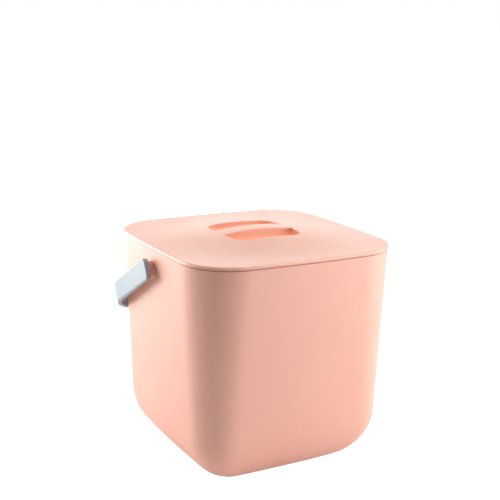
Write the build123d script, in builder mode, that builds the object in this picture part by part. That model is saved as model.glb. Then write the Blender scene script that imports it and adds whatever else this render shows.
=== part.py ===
from math import acos, atan2, cos, degrees, pi, radians, sin, sqrt, tan
import os

from build123d import *

os.makedirs("parts", exist_ok=True)

# A portable mini washer: a bucket with a lid and a bail, and a round wash unit that
# stands on the bucket's floor. Millimetres, +Z up, origin at the middle of the base.
# The bail's pivots lie along X, and the front of the bucket faces -Y.

# Bucket
lid_side = 240.0  # width of the lid over the middle of its sides
lid_overhang = 0.9  # how far the lid stands past the rim
bucket_height = 239.0  # base to rim
draft = 12.1  # how far each wall leans in from rim to base
rim_corner = 53.5  # plan radius of a corner at the rim
base_corner = 32.0  # the same, with the walls carried down to the base
side_radius = 1600.0  # the sides are slightly bowed
bottom_rounding = 60.0  # height of the round between walls and base
corner_shrink = 0.45  # how fast the plan corners tighten below that round
least_corner = 12.0
round_steps = 8
wall = 2.6
floor = 3.2
edge_round = 1.0  # at the seam between rim and lid
foot_recess = 1.2
foot_width = 7.0
centre_pad = 22.0

# Lid
lid_edge = 3.9  # thickness of the lid's flat border
lid_wall = 2.4
crown = 9.0  # rise of the lid's middle
crown_radius = 112.0
lid_top_round = 1.6
skirt_depth = 8.0
skirt_wall = 2.0
skirt_gap = 0.4
grip_length = 80.0
grip_width = 80.0
grip_corner = 16.0
grip_depth = 14.0
grip_bar = 22.0
grip_wall = 2.2
bar_wall = 4.0  # over the hollow of the bar
grip_draft = 4.0  # degrees

# Bail and its pivots
pivot_drop = 22.0  # pivots below the rim
strap_width = 23.0
strap_thick = 5.0
strap_gap = 6.2  # from the wall to the strap
strap_end = 10.5  # strap past the pivot
strap_round = 2.0
strap_corner = 6.0  # seen from the side, at the strap's ends
bend_radius = 75.0
bail_rest = 29.0  # degrees below level
bail_gap = 10.6  # wall at the pivots to the outside of the resting cross bar
boss_radius = 9.5
boss_inside = 2.6  # boss past the wall's inner face
stub_radius = 5.0
running_gap = 0.05
bush_wall = 1.6
bush_flange = 8.6
bush_flange_thick = 1.2
side_play = 0.3
clip_thick = 1.2
clip_radius = 8.0
groove_depth = 0.7
clip_mouth = 0.8  # opening of a clip, as a share of the groove
stub_tail = 1.0

# Wash unit: housings, feet and pulsator
unit_gap = 12.0  # between the unit and the bucket's wall at the split line
foot_height = 8.0
foot_radius = 11.0
foot_margin = 2.0
foot_stem = 3.5
foot_stem_length = 4.6
foot_socket_wall = 2.0
foot_neck = 5.0
foot_lip = 1.5
foot_slope = 0.45  # height of the cup's slope, as a share of the foot
foot_hollow = 0.25  # the same for the hollow under it
shell = 2.5
base_round = 4.0
well_wall = 1.6
well_floor = 3.0  # over a screw head, below the flange
screw_gap = 0.1  # round a shank that passes through
head_gap = 0.4
band_height = 18.0  # upright band of the lower housing
ring_wall = 3.3
split_drop = 6.0  # split line below the deck
flange_width = 12.0
flange_thick = 5.0
seal_inset = 2.4
seal_width = 2.0
seal_thick = 1.6
deck = 2.5
ring_round = 1.0
screw_boss_wall = 2.6
rotor_gap = 1.0
deck_gap = 3.0
dish_thick = 3.0
dish_rise = 12.0
rim_bead = 1.1
dish_knee = 0.7  # where the dish's curve is set, as a share of its radius
crest_drop = 0.6  # blade crests below the rim
blade_sink = 0.5  # blade foot above the dish's underside
blade_count = 3  # long blades, with as many short ones between
blade_crest = 3.1  # half widths
blade_flare = 10.5
blade_tip_gap = 2.6
ring_radius = 33.0
ring_thick = 1.3
ring_rise = 2.6
ring_sink = 2.0
hole_radius = 1.65
hole_pitch = 5.5
holes_in_row = 9
first_hole = 36.6
long_blade_angle = 72.0
hub_foot = 13.5
hub_top = 7.2
hub_overlap = 2.0  # long blades into the hub
tower_clearance = 0.8
shaft_seat = 5.0  # shaft above the tower
cap_radius = 5.5
cap_dome = 1.2
cap_gap = 0.4

# Drive train
module = 0.8
pinion_teeth = 15
stage_one_teeth = 45
output_teeth = 60
backlash = 0.16
gear_width = 6.0
gear_gap = 1.0
pressure_angle = 20.0
addendum = 0.92  # of the module
dedendum = 1.25
root_width = 0.86  # half tooth at the root, as a share of that at the base circle
web_depth = 2.0
web_rim = 4.0
motor_radius = 18.0
motor_length = 26.0
motor_offset = 34.0
motor_angle = 90.0
motor_gap = 0.6
can_wall = 1.4
end_cap_height = 4.0
end_cap_floor = 1.0
motor_shaft_radius = 1.6
shaft_float = 0.2
armature_radius = 12.0
armature_length = 14.0
armature_gap = 3.5
winding_slot = 1.6
winding_depth = 3.0
commutator_radius = 4.0
commutator_length = 3.0
pole_count = 3
magnet_gap = 1.2
magnet_arc = 140.0
plate = 2.5
plate_margin = 2.0
plate_opening = 2.0  # round the motor's shaft
post_radius = 4.0
post_margin = 1.0
post_depth = 6.0
post_angles = (30, 210, 300)
shaft_radius = 4.0
bush_radius = 6.0
bush_collar = 1.5
bush_drop = 6.0
bush_housing_wall = 2.5
tower_radius = 9.5
tower_rise = 7.0
seal_height = 3.2
seal_radius = 7.5
idler_pin_radius = 2.0
idler_boss_wall = 2.0
idler_boss_gap = 0.3
idler_blind = 1.0
gear_hub = 8.0

# Screws: shank radius, head radius, head height
housing_screw = (1.5, 2.9, 2.4)
small_screw = (1.5, 2.6, 1.6)
hub_screw = (2.0, 4.6, 2.2)
hub_screw_length = 8.0
housing_screw_count = 6
motor_screw_offset = 12.0
screw_tip_gap = 1.0

# Cord entry
cord_radius = 2.1
grommet_radius = 5.0
grommet_neck = 3.6
grommet_outside = 3.5
grommet_inside = 2.0
grommet_height = 41.5

# Worked out from the values above
rim_side = lid_side - 2 * lid_overhang


def finish(piece, name):
    piece.part.label = name
    export_step(piece.part, f"parts/{name}.step")


def outline_points(side, corner):
    """Ends and middles of one bowed side and the corner that follows it."""
    lean = side_radius - side / 2
    reach = side_radius - corner
    middle = (sqrt(2 * reach**2 - lean**2) - lean) / 2
    angle = atan2(middle, middle + lean)
    end = (side_radius * cos(angle) - lean, side_radius * sin(angle))
    tip = middle + corner * sqrt(0.5)
    return end, (side / 2, 0), (tip, tip)


def rounded_square(side, corner):
    """A closed square outline with bowed sides and round corners, as a face."""
    end, bow, tip = outline_points(side, corner)
    with BuildSketch() as shape:
        with BuildLine():
            for quarter in range(4):
                turn = 90 * quarter
                before, at, after, peak, far = (
                    Vector(x, y).rotate(Axis.Z, turn)
                    for x, y in ((end[0], -end[1]), bow, end, tip, (end[1], end[0]))
                )
                ThreePointArc(before, at, after)
                ThreePointArc(after, peak, far)
        make_face()
    return shape.sketch


def side_at(z, inset=0.0):
    """Width of the bucket at height z, each face moved in by inset."""
    low = floor if inset else 0.0
    side = rim_side - 2 * draft * (1 - z / bucket_height) - 2 * inset
    round_height = bottom_rounding - inset
    climb = z - low
    if climb < round_height:
        side -= 2 * (round_height - sqrt(round_height**2 - (round_height - climb) ** 2))
    return side


def corner_at(z, inset=0.0):
    low = floor if inset else 0.0
    corner = base_corner + (rim_corner - base_corner) * z / bucket_height - inset
    round_height = bottom_rounding - inset
    climb = z - low
    if climb < round_height:
        drop = round_height - sqrt(round_height**2 - (round_height - climb) ** 2)
        corner = max(corner - corner_shrink * drop, least_corner)
    return corner


def stack(low, inset):
    """Even steps round the bottom, carried a little way up the straight walls."""
    round_height = bottom_rounding - inset
    turns = [90 * step / round_steps for step in range(round_steps + 1)]
    heights = [low + round_height * (1 - cos(radians(turn))) for turn in turns]
    return heights + [heights[-1] + round_height * rise for rise in (0.2, 0.4)]


def bucket_body(low, inset):
    """The bucket's outside, or its hollow when low and inset are given, as a solid."""
    heights = stack(low, inset)
    with BuildPart() as body:
        for z in heights:
            with BuildSketch(Plane.XY.offset(z)):
                add(rounded_square(side_at(z, inset), corner_at(z, inset)))
        loft()
        for z in (heights[-1], bucket_height):
            with BuildSketch(Plane.XY.offset(z)):
                add(rounded_square(side_at(z, inset), corner_at(z, inset)))
        loft(ruled=True)
    return body.part


# Bucket
pivot_z = bucket_height - pivot_drop
wall_x = side_at(pivot_z) / 2
strap_inner = wall_x + strap_gap
strap_outer = strap_inner + strap_thick
flange_outer = strap_inner - side_play
boss_outer = flange_outer - bush_flange_thick
boss_inner = wall_x - wall - boss_inside
clip_inner = boss_inner - side_play - clip_thick
bush_outer = stub_radius + running_gap + bush_wall
bail_reach = (wall_x + bail_gap) / cos(radians(bail_rest))
clip_bore = stub_radius - groove_depth


def pivot_plane(sign, x):
    """Plane across the pivot axis at distance x, looking outwards."""
    return Plane(origin=(sign * x, 0, pivot_z), x_dir=(0, 1, 0), z_dir=(sign, 0, 0))


with BuildPart() as bucket:
    add(bucket_body(0.0, 0.0))
    add(bucket_body(floor, wall), mode=Mode.SUBTRACT)
    fillet(bucket.edges().group_by(Axis.Z)[-1], edge_round)
    for sign in (-1, 1):
        with BuildSketch(pivot_plane(sign, boss_inner)):
            Circle(boss_radius)
        extrude(amount=boss_outer - boss_inner)
    for sign in (-1, 1):
        with BuildSketch(pivot_plane(sign, boss_inner)):
            Circle(bush_outer)
        extrude(amount=boss_outer - boss_inner, mode=Mode.SUBTRACT)
    with BuildSketch():
        add(rounded_square(side_at(0) - 2 * foot_width, least_corner))
        Circle(centre_pad, mode=Mode.SUBTRACT)
    extrude(amount=foot_recess, mode=Mode.SUBTRACT)
finish(bucket, "bucket")

with BuildPart() as pivot_bushes:
    for sign in (-1, 1):
        with BuildSketch(pivot_plane(sign, boss_inner)):
            Circle(bush_outer)
        extrude(amount=boss_outer - boss_inner)
        with BuildSketch(pivot_plane(sign, boss_outer)):
            Circle(bush_flange)
        extrude(amount=bush_flange_thick)
        with BuildSketch(pivot_plane(sign, boss_inner)):
            Circle(stub_radius + running_gap)
        extrude(amount=flange_outer - boss_inner, mode=Mode.SUBTRACT)
finish(pivot_bushes, "pivot_bushes")

# Lid
skirt_z = bucket_height - skirt_depth
skirt_side = side_at(skirt_z, wall) - 2 * skirt_gap
skirt_corner = corner_at(skirt_z, wall) - skirt_gap
lid_z = bucket_height + lid_edge
grip_floor = lid_z + crown - grip_depth
cup_bottom = grip_floor - grip_wall


def crown_section(drop, low):
    """Half section of the lid's crown, lowered by drop, down to the height low."""
    edge = (crown_radius, lid_z - drop)
    peak = (0, lid_z + crown - drop)
    with BuildSketch(Plane.XZ) as shape:
        with BuildLine():
            Polyline(peak, (0, low), (crown_radius, low), edge)
            Spline(edge, peak, tangents=((-1, 0), (-1, 0)))
        make_face()
    return shape.sketch


with BuildPart() as grip_block:
    with BuildSketch(Plane.XY.offset(cup_bottom)):
        RectangleRounded(grip_length + 2 * grip_wall, grip_width + 2 * grip_wall, grip_corner + grip_wall)
    extrude(amount=lid_z + crown - cup_bottom)
    revolve(crown_section(0, cup_bottom), axis=Axis.Z, mode=Mode.INTERSECT)

with BuildPart() as lid:
    with BuildSketch(Plane.XY.offset(bucket_height)):
        add(rounded_square(lid_side, rim_corner))
    extrude(amount=lid_edge)
    fillet(lid.edges().group_by(Axis.Z)[-1], lid_top_round)
    fillet(lid.edges().group_by(Axis.Z)[0], edge_round)
    revolve(crown_section(0, bucket_height), axis=Axis.Z)
    with BuildSketch(Plane.XY.offset(skirt_z)):
        add(rounded_square(skirt_side, skirt_corner))
        add(rounded_square(skirt_side - 2 * skirt_wall, skirt_corner - skirt_wall), mode=Mode.SUBTRACT)
    extrude(amount=skirt_depth + lid_edge / 2)
    with BuildSketch(Plane.XY.offset(bucket_height)):
        add(rounded_square(skirt_side - 2 * skirt_wall, skirt_corner - skirt_wall))
    extrude(amount=lid_edge - lid_wall, mode=Mode.SUBTRACT)
    revolve(crown_section(lid_wall, bucket_height), axis=Axis.Z, mode=Mode.SUBTRACT)
    add(grip_block.part)
    with BuildSketch(Plane.XY.offset(grip_floor)):
        RectangleRounded(grip_length, grip_width, grip_corner)
        Rectangle(grip_length, grip_bar, mode=Mode.SUBTRACT)
    extrude(amount=grip_depth + 1, taper=-grip_draft, mode=Mode.SUBTRACT)
    with BuildSketch(Plane.XY.offset(cup_bottom)):
        Rectangle(grip_length, grip_bar - 2 * grip_wall)
    extrude(amount=lid_z + crown - bar_wall - cup_bottom, mode=Mode.SUBTRACT)
finish(lid, "lid")

# Bail
bail_dir = Vector(0, cos(radians(bail_rest)), -sin(radians(bail_rest)))
bail_plane = Plane(
    origin=(0, 0, pivot_z),
    x_dir=(1, 0, 0),
    z_dir=(0, sin(radians(bail_rest)), cos(radians(bail_rest))),
)
strap_middle = (strap_inner + strap_outer) / 2
bar_middle = bail_reach - strap_thick / 2
bend_middle = bend_radius - strap_thick / 2

with BuildPart() as handle_bail:
    with BuildLine(bail_plane) as strap_path:
        FilletPolyline(
            (-strap_middle, -strap_end),
            (-strap_middle, bar_middle),
            (strap_middle, bar_middle),
            (strap_middle, -strap_end),
            radius=bend_middle,
        )
    with BuildSketch(Plane(strap_path.line @ 0, x_dir=(1, 0, 0), z_dir=strap_path.line % 0)):
        RectangleRounded(strap_thick, strap_width, strap_round)
    sweep(path=strap_path.line)
    with BuildSketch(Plane(origin=(0, 0, pivot_z), x_dir=bail_dir, z_dir=(1, 0, 0))):
        with Locations((-strap_end, 0)):
            Rectangle(2 * strap_corner, strap_width)
        with Locations((strap_corner * 2 - strap_end, 0)):
            RectangleRounded(4 * strap_corner, strap_width, strap_corner, mode=Mode.SUBTRACT)
    extrude(amount=strap_outer, both=True, mode=Mode.SUBTRACT)
    for sign in (-1, 1):
        with BuildSketch(pivot_plane(sign, clip_inner - stub_tail)):
            Circle(stub_radius)
        extrude(amount=strap_middle - clip_inner + stub_tail)
    for sign in (-1, 1):
        with BuildSketch(pivot_plane(sign, clip_inner)):
            Circle(stub_radius)
            Circle(clip_bore, mode=Mode.SUBTRACT)
        extrude(amount=clip_thick, mode=Mode.SUBTRACT)
finish(handle_bail, "handle_bail")

with BuildPart() as pivot_clips:
    for sign in (-1, 1):
        with BuildSketch(pivot_plane(sign, clip_inner)):
            Circle(clip_radius)
            Circle(clip_bore, mode=Mode.SUBTRACT)
            with Locations((0, clip_radius / 2)):
                Rectangle(2 * clip_mouth * clip_bore, clip_radius + 1, mode=Mode.SUBTRACT)
        extrude(amount=clip_thick)
finish(pivot_clips, "pivot_clips")

# Heights in the wash unit, from its feet up
unit_base = floor + foot_height
motor_base = unit_base + shell + motor_gap
plate_z = motor_base + motor_length
plate_top = plate_z + plate
stage_one_z = plate_top + gear_gap
stage_two_z = stage_one_z + gear_width + gear_gap
deck_z = stage_two_z + gear_width + gear_gap
deck_top = deck_z + deck
split_z = deck_z - split_drop
tower_top = deck_top + tower_rise
dish_base = deck_top + deck_gap
dish_low = dish_base + dish_thick
rim_z = dish_low + dish_rise

# Radii in the wash unit
unit_radius = side_at(split_z, wall) / 2 - unit_gap
ring_inner = unit_radius - ring_wall
rotor_radius = ring_inner - rotor_gap
plate_radius = motor_offset + motor_radius + plate_margin
flange_inner = unit_radius - flange_width
well_radius = housing_screw[1] + head_gap
screw_circle = unit_radius - flange_width + housing_screw[1] + well_wall
foot_offset = side_at(floor, wall) / 2 - foot_radius - foot_margin
foot_circle = foot_offset * sqrt(2)
socket_radius = foot_stem + foot_socket_wall
base_radius = max(plate_radius, foot_circle + socket_radius) + shell
band_z = split_z - band_height
post_circle = plate_radius - post_radius - post_margin

# Gear centres
output_distance = module * (output_teeth + pinion_teeth) / 2
stage_one_distance = module * (stage_one_teeth + pinion_teeth) / 2
closing = motor_offset**2 + output_distance**2 - stage_one_distance**2
idler_angle = motor_angle + degrees(acos(closing / (2 * motor_offset * output_distance)))


def polar(radius, angle):
    return Vector(radius * cos(radians(angle)), radius * sin(radians(angle)))


motor_at = polar(motor_offset, motor_angle)
idler_at = polar(output_distance, idler_angle)
motor_side = degrees(atan2(motor_at.Y - idler_at.Y, motor_at.X - idler_at.X))


def at_height(point, z):
    return Plane(origin=(point.X, point.Y, z))


def half_section(*points):
    """Face in the XZ plane through the listed points, for turning about Z."""
    with BuildSketch(Plane.XZ) as shape:
        with BuildLine():
            Polyline(*points, close=True)
        make_face()
    return shape.sketch


def gear_face(teeth, tooth_angle):
    """Involute gear outline with a tooth centred at tooth_angle, as a face."""
    pressure = radians(pressure_angle)
    pitch = module * teeth / 2
    base = pitch * cos(pressure)
    tip = pitch + addendum * module
    root = pitch - dedendum * module
    half_pitch = pi / (2 * teeth) - backlash / (2 * pitch)

    def half_tooth(radius):
        roll = acos(min(base / radius, 1))
        return half_pitch + tan(pressure) - pressure - tan(roll) + roll

    steps = (max(base, root), pitch, (pitch + tip) / 2, tip)
    flank = [(radius, half_tooth(radius)) for radius in steps]
    rise = [(root, root_width * flank[0][1])] + flank
    points = []
    for tooth in range(teeth):
        middle = radians(tooth_angle) + 2 * pi * tooth / teeth
        points += [(r * cos(middle - half), r * sin(middle - half)) for r, half in rise]
        points += [(r * cos(middle + half), r * sin(middle + half)) for r, half in reversed(rise)]
    with BuildSketch() as shape:
        with BuildLine():
            Polyline(*points, close=True)
        make_face()
    return shape.sketch


# Lower housing: a bowl with feet sockets, screw wells and a flange at the split line
screw_angles = [360 / housing_screw_count * step for step in range(housing_screw_count)]
foot_angles = (45, 135, 225, 315)
well_top = split_z - flange_thick - well_floor
screw_reach = split_drop - screw_tip_gap
grommet_seat = sqrt((unit_radius - shell) ** 2 - grommet_radius**2)

with BuildPart() as lower_housing:
    section = half_section(
        (0, unit_base),
        (base_radius, unit_base),
        (unit_radius, band_z),
        (unit_radius, split_z),
        (0, split_z),
    )
    revolve(section, axis=Axis.Z)
    fillet(lower_housing.edges().filter_by(GeomType.CIRCLE).group_by(Axis.Z)[0], base_round)
    section = half_section(
        (0, unit_base + shell),
        (base_radius - shell, unit_base + shell),
        (unit_radius - shell, band_z + shell / 2),
        (unit_radius - shell, split_z - flange_thick),
        (0, split_z - flange_thick),
    )
    revolve(section, axis=Axis.Z, mode=Mode.SUBTRACT)
    with BuildSketch(Plane.XY.offset(split_z - flange_thick)):
        Circle(flange_inner)
    extrude(amount=flange_thick, mode=Mode.SUBTRACT)
    for angle in screw_angles:
        with BuildSketch(at_height(polar(screw_circle, angle), band_z)):
            Circle(well_radius + well_wall)
        extrude(amount=split_z - flange_thick / 2 - band_z)
    for angle in foot_angles:
        with BuildSketch(at_height(polar(foot_circle, angle), unit_base + shell)):
            Circle(socket_radius)
        extrude(amount=foot_stem_length)
    for angle in screw_angles:
        with BuildSketch(at_height(polar(screw_circle, angle), unit_base)):
            Circle(well_radius)
        extrude(amount=well_top - unit_base, mode=Mode.SUBTRACT)
        with BuildSketch(at_height(polar(screw_circle, angle), well_top)):
            Circle(housing_screw[0] + screw_gap)
        extrude(amount=split_z - well_top, mode=Mode.SUBTRACT)
    for angle in foot_angles:
        with BuildSketch(at_height(polar(foot_circle, angle), unit_base)):
            Circle(foot_stem)
        extrude(amount=foot_stem_length, mode=Mode.SUBTRACT)
    with BuildSketch(Plane.XY.offset(split_z - seal_thick)):
        Circle(unit_radius - seal_inset)
        Circle(unit_radius - seal_inset - seal_width, mode=Mode.SUBTRACT)
    extrude(amount=seal_thick, mode=Mode.SUBTRACT)
    with BuildSketch(Plane.XZ.offset(grommet_seat - shell)):
        with Locations((0, grommet_height)):
            Circle(grommet_neck)
    extrude(amount=3 * shell, mode=Mode.SUBTRACT)
    with BuildSketch(Plane.XZ.offset(grommet_seat - grommet_inside)):
        with Locations((0, grommet_height)):
            Circle(grommet_radius)
    extrude(amount=grommet_inside, mode=Mode.SUBTRACT)
finish(lower_housing, "lower_housing")

with BuildPart() as housing_seal:
    with BuildSketch(Plane.XY.offset(split_z - seal_thick)):
        Circle(unit_radius - seal_inset)
        Circle(unit_radius - seal_inset - seal_width, mode=Mode.SUBTRACT)
    extrude(amount=seal_thick)
finish(housing_seal, "housing_seal")

with BuildPart() as housing_screws:
    for angle in screw_angles:
        spot = polar(screw_circle, angle)
        with BuildSketch(at_height(spot, well_top)):
            Circle(housing_screw[0])
        extrude(amount=split_z - well_top + screw_reach)
        with BuildSketch(at_height(spot, well_top - housing_screw[2])):
            Circle(housing_screw[1])
        extrude(amount=housing_screw[2])
        with BuildSketch(at_height(spot, well_top - housing_screw[2])):
            RegularPolygon(housing_screw[0], 6)
        extrude(amount=housing_screw[2] / 2, mode=Mode.SUBTRACT)
finish(housing_screws, "housing_screws")

with BuildPart() as suction_feet:
    for angle in foot_angles:
        spot = polar(foot_circle, angle)
        with BuildSketch(at_height(spot, floor)):
            Circle(foot_radius)
        with BuildSketch(at_height(spot, floor + foot_height * foot_slope)):
            Circle(foot_neck)
        loft()
        with BuildSketch(at_height(spot, floor + foot_height * foot_slope)):
            Circle(foot_neck)
        extrude(amount=foot_height * (1 - foot_slope))
        with BuildSketch(at_height(spot, floor)):
            Circle(foot_radius - foot_lip)
        with BuildSketch(at_height(spot, floor + foot_height * foot_hollow)):
            Circle(foot_stem)
        loft(mode=Mode.SUBTRACT)
        with BuildSketch(at_height(spot, floor + foot_height)):
            Circle(foot_stem)
        extrude(amount=foot_stem_length)
finish(suction_feet, "suction_feet")

# Upper housing: ring wall, deck, centre tower and the posts under the deck
with BuildPart() as upper_housing:
    section = half_section(
        (0, deck_z),
        (ring_inner, deck_z),
        (ring_inner, split_z),
        (unit_radius, split_z),
        (unit_radius, rim_z),
        (ring_inner, rim_z),
        (ring_inner, deck_top),
        (0, deck_top),
    )
    revolve(section, axis=Axis.Z)
    fillet(upper_housing.edges().filter_by(GeomType.CIRCLE).group_by(Axis.Z)[-1], ring_round)
    with BuildSketch(Plane.XY.offset(deck_top)):
        Circle(tower_radius)
    extrude(amount=tower_rise)
    for angle in screw_angles:
        with BuildSketch(at_height(polar(screw_circle, angle), split_z)):
            Circle(housing_screw[0] + screw_boss_wall)
        extrude(amount=split_drop)
    for angle in post_angles:
        with BuildSketch(at_height(polar(post_circle, angle), plate_top)):
            Circle(post_radius)
        extrude(amount=deck_z - plate_top)
    with BuildSketch(at_height(idler_at, deck_z - gear_gap + idler_boss_gap)):
        Circle(idler_pin_radius + idler_boss_wall)
    extrude(amount=gear_gap - idler_boss_gap)
    with BuildSketch(Plane.XY.offset(deck_z)):
        Circle(bush_radius)
    extrude(amount=deck + tower_rise, mode=Mode.SUBTRACT)
    with BuildSketch(Plane.XY.offset(tower_top - seal_height)):
        Circle(seal_radius)
    extrude(amount=seal_height, mode=Mode.SUBTRACT)
    with BuildSketch(at_height(idler_at, deck_z - gear_gap)):
        Circle(idler_pin_radius)
    extrude(amount=gear_gap + deck - idler_blind, mode=Mode.SUBTRACT)
    for angle in screw_angles:
        with BuildSketch(at_height(polar(screw_circle, angle), split_z)):
            Circle(housing_screw[0])
        extrude(amount=screw_reach, mode=Mode.SUBTRACT)
    for angle in post_angles:
        with BuildSketch(at_height(polar(post_circle, angle), plate_top)):
            Circle(small_screw[0])
        extrude(amount=post_depth, mode=Mode.SUBTRACT)
finish(upper_housing, "upper_housing")

# Pulsator: a dish with long and short blades, an inner ring, rows of holes and a hub
crest_z = rim_z - crest_drop
blade_tip = rotor_radius - blade_tip_gap
shaft_top = tower_top + tower_clearance + shaft_seat
knee = rotor_radius * dish_knee
bead_top = rim_z + rim_bead / 2


def dish_height(radius):
    return dish_low + dish_rise * (radius / rotor_radius) ** 2


def blade_section(z, start, half_width):
    """Pointed blade outline along X at height z."""
    middle = (start + blade_tip) / 2
    with BuildSketch(Plane.XY.offset(z)) as shape:
        with BuildLine():
            ThreePointArc((start, 0), (middle, half_width), (blade_tip, 0))
            ThreePointArc((blade_tip, 0), (middle, -half_width), (start, 0))
        make_face()
    return shape.sketch


def blade(start):
    waist = (blade_flare + 3 * blade_crest) / 4
    with BuildPart() as piece:
        low = blade_section(dish_base + blade_sink, start, blade_flare)
        middle = blade_section((dish_low + crest_z) / 2, start, waist)
        crest = blade_section(crest_z, start, blade_crest)
        loft([low, middle, crest])
    return piece.part


with BuildPart() as dish:
    with BuildSketch(Plane.XZ):
        with BuildLine():
            Line((0, dish_base), (hub_foot, dish_base))
            Spline(
                (hub_foot, dish_base),
                (knee, dish_height(knee) - dish_thick),
                (rotor_radius, rim_z - dish_thick),
            )
            Line((rotor_radius, rim_z - dish_thick), (rotor_radius, rim_z))
            Line((rotor_radius, rim_z), (rotor_radius - rim_bead, bead_top))
            Line((rotor_radius - rim_bead, bead_top), (rotor_radius - 2 * rim_bead, rim_z))
            Spline(
                (rotor_radius - 2 * rim_bead, rim_z),
                (knee, dish_height(knee)),
                (hub_foot, dish_low),
            )
            Line((hub_foot, dish_low), (hub_top, rim_z))
            Line((hub_top, rim_z), (0, rim_z))
            Line((0, rim_z), (0, dish_base))
        make_face()
    revolve(axis=Axis.Z)

with BuildPart() as pulsator:
    add(dish.part)
    section = half_section(
        (ring_radius - ring_thick / 2, dish_base + ring_sink),
        (ring_radius + ring_thick / 2, dish_base + ring_sink),
        (ring_radius + ring_thick / 2, dish_height(ring_radius) + ring_rise),
        (ring_radius - ring_thick / 2, dish_height(ring_radius) + ring_rise),
    )
    revolve(section, axis=Axis.Z)
    for step in range(2 * blade_count):
        start = hub_top - hub_overlap if step % 2 == 0 else ring_radius
        turn = long_blade_angle + 180 / blade_count * step
        add(blade(start), rotation=(0, 0, turn))
    for step in range(2 * blade_count):
        row = long_blade_angle - 90 / blade_count + 180 / blade_count * step
        for hole in range(holes_in_row):
            spot = polar(first_hole + hole_pitch * hole, row)
            with BuildSketch(at_height(spot, deck_top)):
                Circle(hole_radius)
            extrude(amount=bead_top - deck_top, mode=Mode.SUBTRACT)
    with BuildSketch(Plane.XY.offset(dish_base)):
        Circle(tower_radius + tower_clearance)
    extrude(amount=tower_top + tower_clearance - dish_base, mode=Mode.SUBTRACT)
    with BuildSketch(Plane.XY.offset(dish_base)):
        Circle(shaft_radius)
    extrude(amount=shaft_top - dish_base, mode=Mode.SUBTRACT)
    with BuildSketch(Plane.XY.offset(shaft_top)):
        Circle(hub_screw[0])
    extrude(amount=rim_z - shaft_top, mode=Mode.SUBTRACT)
    with BuildSketch(Plane.XY.offset(shaft_top)):
        Circle(cap_radius)
    extrude(amount=rim_z - shaft_top, mode=Mode.SUBTRACT)
finish(pulsator, "pulsator")

with BuildPart() as pulsator_screw:
    with BuildSketch(Plane.XY.offset(shaft_top - hub_screw_length)):
        Circle(hub_screw[0])
    extrude(amount=hub_screw_length)
    with BuildSketch(Plane.XY.offset(shaft_top)):
        Circle(hub_screw[1])
    extrude(amount=hub_screw[2])
    with BuildSketch(Plane.XY.offset(shaft_top + hub_screw[2])):
        RegularPolygon(hub_screw[0], 6)
    extrude(amount=-hub_screw[2] / 2, mode=Mode.SUBTRACT)
finish(pulsator_screw, "pulsator_screw")

with BuildPart() as centre_cap:
    cap_base = shaft_top + hub_screw[2] + cap_gap
    dome_top = (0, rim_z + cap_dome)
    dome_radius = (cap_radius**2 + cap_dome**2) / (2 * cap_dome)
    dome_shoulder = cap_dome - dome_radius + sqrt(dome_radius**2 - cap_radius**2 / 4)
    with BuildSketch(Plane.XZ):
        with BuildLine():
            Line((0, cap_base), (cap_radius, cap_base))
            Line((cap_radius, cap_base), (cap_radius, rim_z))
            ThreePointArc((cap_radius, rim_z), (cap_radius / 2, rim_z + dome_shoulder), dome_top)
            Line(dome_top, (0, cap_base))
        make_face()
    revolve(axis=Axis.Z)
finish(centre_cap, "centre_cap")

# Output shaft, its bushes and seal
lower_bush_base = plate_z - bush_drop
with BuildPart() as output_shaft:
    with BuildSketch(Plane.XY.offset(lower_bush_base)):
        Circle(shaft_radius)
    extrude(amount=shaft_top - lower_bush_base)
    with BuildSketch(Plane.XY.offset(shaft_top)):
        Circle(hub_screw[0])
    extrude(amount=-hub_screw_length, mode=Mode.SUBTRACT)
finish(output_shaft, "output_shaft")


def bush(name, base, height, collar):
    with BuildPart() as piece:
        with BuildSketch(Plane.XY.offset(base)):
            Circle(bush_radius)
        extrude(amount=height)
        if collar:
            with BuildSketch(Plane.XY.offset(base + height)):
                Circle(bush_radius + bush_collar)
            extrude(amount=collar)
        with BuildSketch(Plane.XY.offset(base)):
            Circle(shaft_radius + running_gap)
        extrude(amount=height + collar, mode=Mode.SUBTRACT)
    finish(piece, name)


bush("lower_bush", lower_bush_base, plate_top - lower_bush_base, gear_gap / 2)
bush("upper_bush", deck_z, deck + tower_rise - seal_height, 0)

with BuildPart() as shaft_seal:
    with BuildSketch(Plane.XY.offset(tower_top - seal_height)):
        Circle(seal_radius)
        Circle(shaft_radius + running_gap, mode=Mode.SUBTRACT)
    extrude(amount=seal_height)
finish(shaft_seal, "shaft_seal")

# Gears
with BuildPart() as output_gear:
    with BuildSketch(Plane.XY.offset(stage_one_z)):
        Circle(gear_hub)
    extrude(amount=stage_two_z - stage_one_z)
    with BuildSketch(Plane.XY.offset(stage_two_z)):
        add(gear_face(output_teeth, idler_angle))
    extrude(amount=gear_width)
    with BuildSketch(Plane.XY.offset(stage_one_z)):
        Circle(shaft_radius)
    extrude(amount=gear_width * 2 + gear_gap, mode=Mode.SUBTRACT)
    with BuildSketch(Plane.XY.offset(stage_two_z + gear_width)):
        Circle(module * output_teeth / 2 - web_rim)
        Circle(gear_hub, mode=Mode.SUBTRACT)
    extrude(amount=-web_depth, mode=Mode.SUBTRACT)
finish(output_gear, "output_gear")

with BuildPart() as idler_gear:
    with BuildSketch(at_height(idler_at, stage_one_z)):
        add(gear_face(stage_one_teeth, motor_side))
    extrude(amount=gear_width)
    with BuildSketch(at_height(idler_at, stage_one_z + gear_width)):
        add(gear_face(pinion_teeth, idler_angle + 180 + 180 / pinion_teeth))
    extrude(amount=gear_width + gear_gap)
    with BuildSketch(at_height(idler_at, stage_one_z)):
        Circle(idler_pin_radius + running_gap)
    extrude(amount=2 * gear_width + gear_gap, mode=Mode.SUBTRACT)
finish(idler_gear, "idler_gear")

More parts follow.
